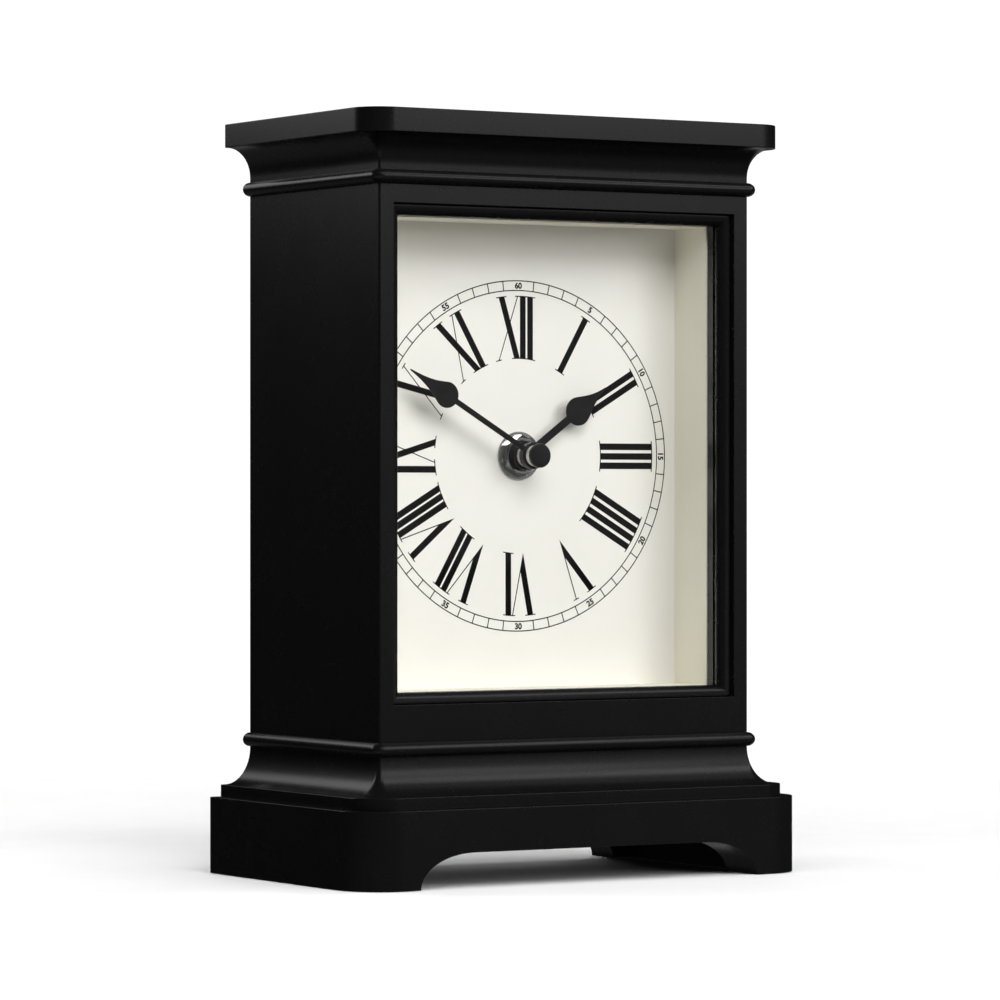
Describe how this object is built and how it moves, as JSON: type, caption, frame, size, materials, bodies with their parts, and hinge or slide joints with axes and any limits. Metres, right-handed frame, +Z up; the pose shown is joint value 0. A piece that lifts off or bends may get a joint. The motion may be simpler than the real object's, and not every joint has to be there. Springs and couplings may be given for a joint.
{
  "type": "mantel clock",
  "caption": "Battery mantel clock with a deep black moulded case, arched plinth, square cream dial with Roman numerals, spade hands and a hinged back door.",
  "frame": {"origin": "middle of the footprint on the surface it stands on", "axes": "+Z up, -Y is the front (dial) side, +X to the right seen from the front"},
  "size_m": [0.1528, 0.096, 0.22],
  "materials": {
    "case_black": "satin",
    "dial_cream": "matt print card",
    "glass": "clear",
    "chrome": "polished",
    "hand_black": "satin",
    "movement_plastic": "moulded",
    "wheel_plastic": "moulded",
    "rubber": "matt",
    "board_green": "solder resist",
    "winding": "enamelled copper wire",
    "cell_jacket": "printed sleeve",
    "brass": "satin",
    "steel": "bright"
  },
  "bodies": {
    "case": {"catch_magnet": "steel", "circuit_board": "board_green", "coil_bobbin": "movement_plastic", "coil_core": "steel", "coil_winding": "winding", "dial_lining_bottom": "dial_cream", "dial_lining_left": "dial_cream", "dial_lining_right": "dial_cream", "dial_lining_top": "dial_cream", "dial_plate": "dial_cream", "dial_washer": "chrome", "front_frame": "case_black", "glass_pane": "glass", "glazing_bead": "case_black", "hex_nut": "chrome", "left_side_panel": "case_black", "lower_bead_board": "case_black", "lower_cove_board": "case_black", "lower_hinge_case_leaf": "brass", "lower_hinge_pin": "steel", "movement_cover": "movement_plastic", "movement_housing": "movement_plastic", "negative_contact": "steel", "plinth_back_rail": "case_black", "plinth_front_rail": "case_black", "plinth_left_rail": "case_black", "plinth_right_rail": "case_black", "positive_contact": "steel", "quartz_crystal": "steel", "right_side_panel": "case_black", "rubber_washer": "rubber", "stator": "steel", "step_board": "case_black", "top_slab": "case_black", "train_bridge": "wheel_plastic", "upper_bead_board": "case_black", "upper_cove_board": "case_black", "upper_hinge_case_leaf": "brass", "upper_hinge_pin": "steel"},
    "back_door": {"back_door": "case_black", "door_knob": "brass", "catch_plate": "steel", "lower_hinge_door_leaf": "brass", "upper_hinge_door_leaf": "brass"},
    "seconds_train": {"seconds_wheel": "steel", "shaft_cap": "hand_black"},
    "third_train": {"third_wheel": "wheel_plastic"},
    "centre_train": {"centre_wheel": "wheel_plastic"},
    "intermediate_train": {"intermediate_wheel": "wheel_plastic"},
    "rotor_train": {"rotor": "steel"},
    "minute_train": {"minute_pipe": "brass", "minute_hand": "hand_black", "hand_nut": "chrome"},
    "reverse_train": {"reverse_wheel": "wheel_plastic", "setting_knob": "movement_plastic"},
    "hour_train": {"hour_wheel": "chrome", "hour_hand": "hand_black"},
    "battery": {"battery_cell": "cell_jacket"}
  },
  "joints": [
    {"name": "back_door_hinge", "type": "hinge", "parent": "case", "child": "back_door", "pos_m": [-0.057, 0.04275, 0.12], "axis": [0, 0, 1], "range_deg": [0, 110]},
    {"name": "seconds_spin", "type": "hinge", "parent": "case", "child": "seconds_train", "pos_m": [0, -0.00045, 0.1224], "axis": [0, 1, 0], "continuous": true},
    {"name": "third_spin", "type": "hinge", "parent": "case", "child": "third_train", "pos_m": [-0.0106, -0.00045, 0.12852], "axis": [0, 1, 0], "continuous": true},
    {"name": "centre_spin", "type": "hinge", "parent": "case", "child": "centre_train", "pos_m": [0, -0.00045, 0.1224], "axis": [0, 1, 0], "continuous": true},
    {"name": "intermediate_spin", "type": "hinge", "parent": "case", "child": "intermediate_train", "pos_m": [0, -0.00045, 0.135], "axis": [0, 1, 0], "continuous": true},
    {"name": "rotor_spin", "type": "hinge", "parent": "case", "child": "rotor_train", "pos_m": [0.0036, -0.00045, 0.14124], "axis": [0, 1, 0], "continuous": true},
    {"name": "minute_spin", "type": "hinge", "parent": "case", "child": "minute_train", "pos_m": [0, -0.00045, 0.1224], "axis": [0, 1, 0], "continuous": true},
    {"name": "reverse_spin", "type": "hinge", "parent": "case", "child": "reverse_train", "pos_m": [0.01081, -0.00045, 0.12864], "axis": [0, 1, 0], "continuous": true},
    {"name": "hour_spin", "type": "hinge", "parent": "case", "child": "hour_train", "pos_m": [0, -0.00045, 0.1224], "axis": [0, 1, 0], "continuous": true},
    {"name": "battery_slide", "type": "slide", "parent": "case", "child": "battery", "axis": [0, 1, 0], "range_m": [0, 0.018]}
  ],
  "couplings": [
    {"joint": "third_spin", "follows": "seconds_spin", "ratio": -0.13333},
    {"joint": "centre_spin", "follows": "seconds_spin", "ratio": 0.016667},
    {"joint": "intermediate_spin", "follows": "seconds_spin", "ratio": -6},
    {"joint": "rotor_spin", "follows": "seconds_spin", "ratio": 30},
    {"joint": "reverse_spin", "follows": "minute_spin", "ratio": -0.33333},
    {"joint": "hour_spin", "follows": "minute_spin", "ratio": 0.083333}
  ]
}
